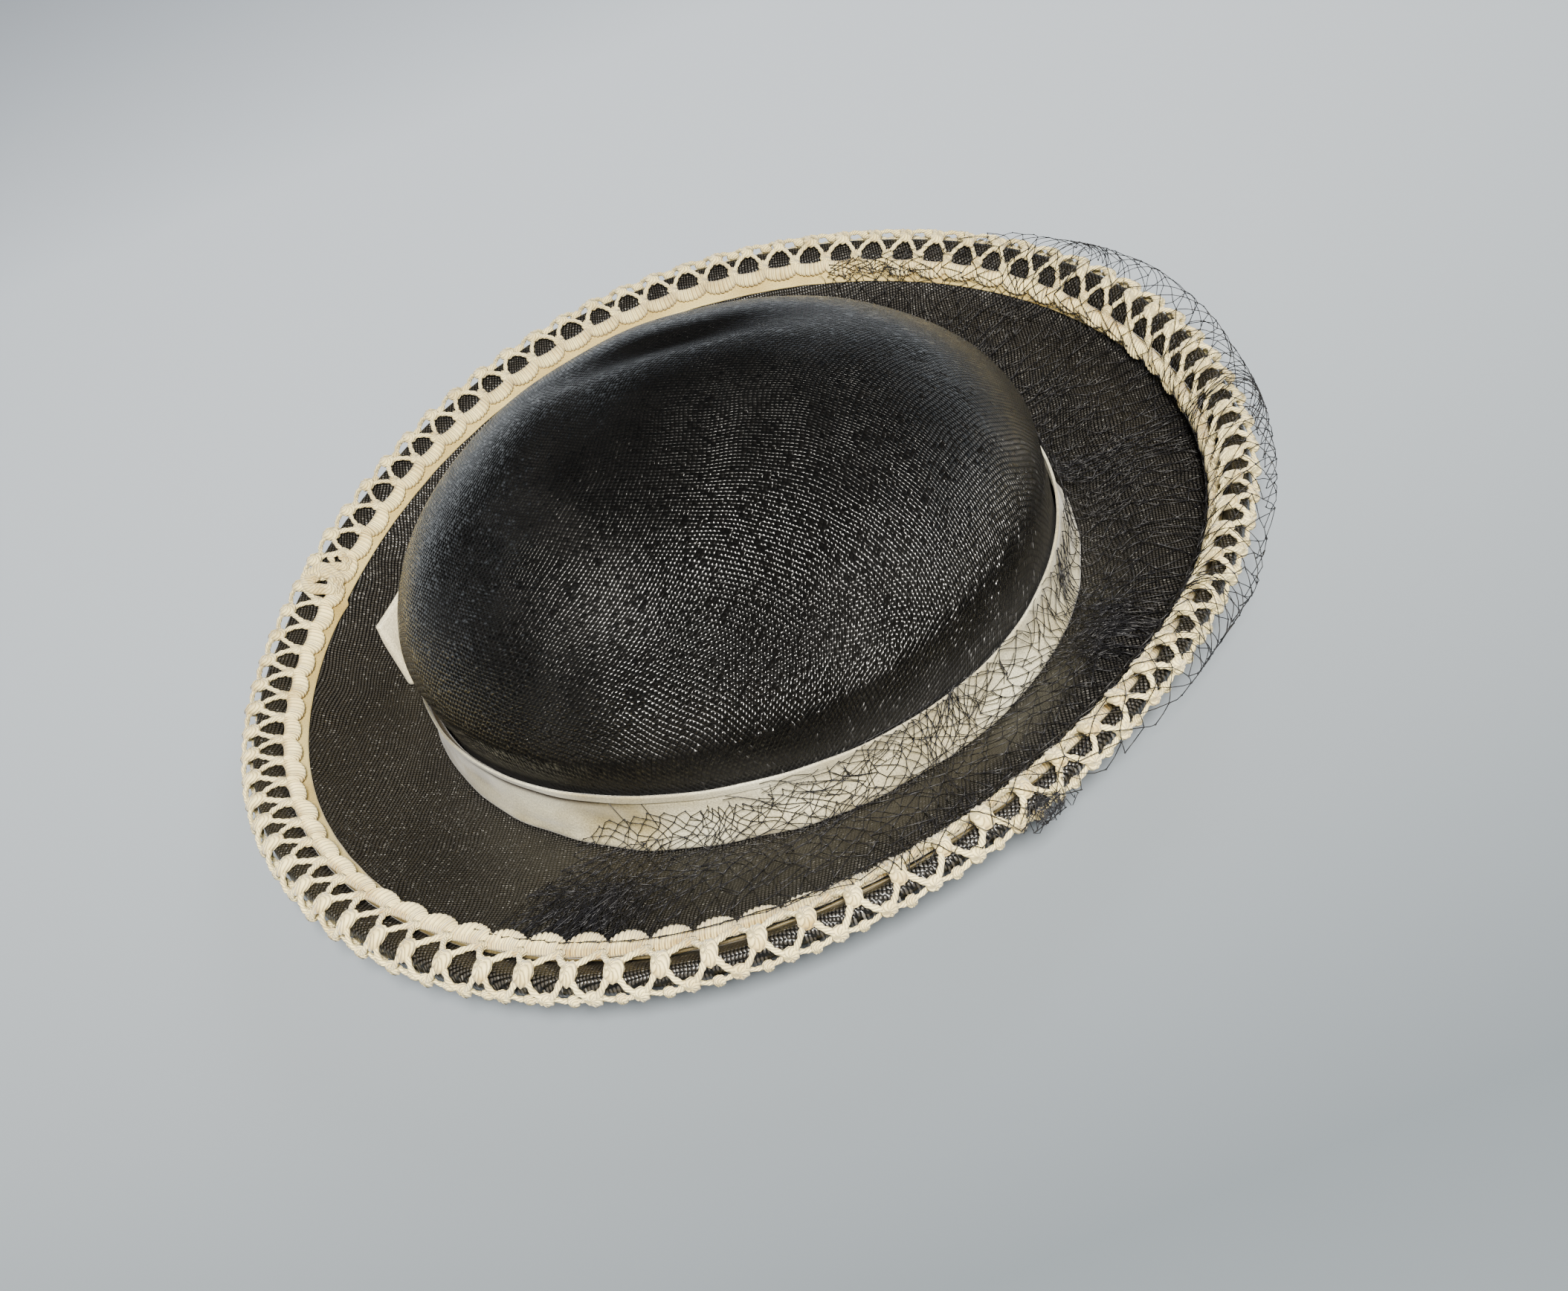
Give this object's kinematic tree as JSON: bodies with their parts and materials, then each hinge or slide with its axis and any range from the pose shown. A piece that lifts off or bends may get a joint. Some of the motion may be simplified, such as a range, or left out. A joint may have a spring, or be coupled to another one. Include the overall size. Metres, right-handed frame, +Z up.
{
  "type": "straw dress hat",
  "caption": "Wide upturned-brim dress hat of black woven straw, with a cream ribbon band and flat bow, a ribbon facing, cord lace over the rolled edge and a gathered net veil.",
  "frame": {"origin": "centre of the head opening, in the plane that the hat rests on", "axes": "+Z up through the crown, +X to the front of the hat, +Y to the wearer's left"},
  "size_m": [0.3282, 0.3461, 0.087],
  "materials": {
    "crown_straw": "glossy",
    "brim_straw": "matte",
    "ribbon": "satin",
    "cord_lace": "matte",
    "veil_net": "matte"
  },
  "bodies": {
    "root": {"crown": "crown_straw", "brim": "brim_straw", "hat_band": "ribbon", "brim_facing": "ribbon", "lace_edging": "cord_lace", "veil": "veil_net", "bow_loop_right": "ribbon", "bow_loop_left": "ribbon", "bow_knot": "ribbon", "lace_join_curl_1": "cord_lace", "lace_join_curl_2": "cord_lace"}
  },
  "joints": []
}
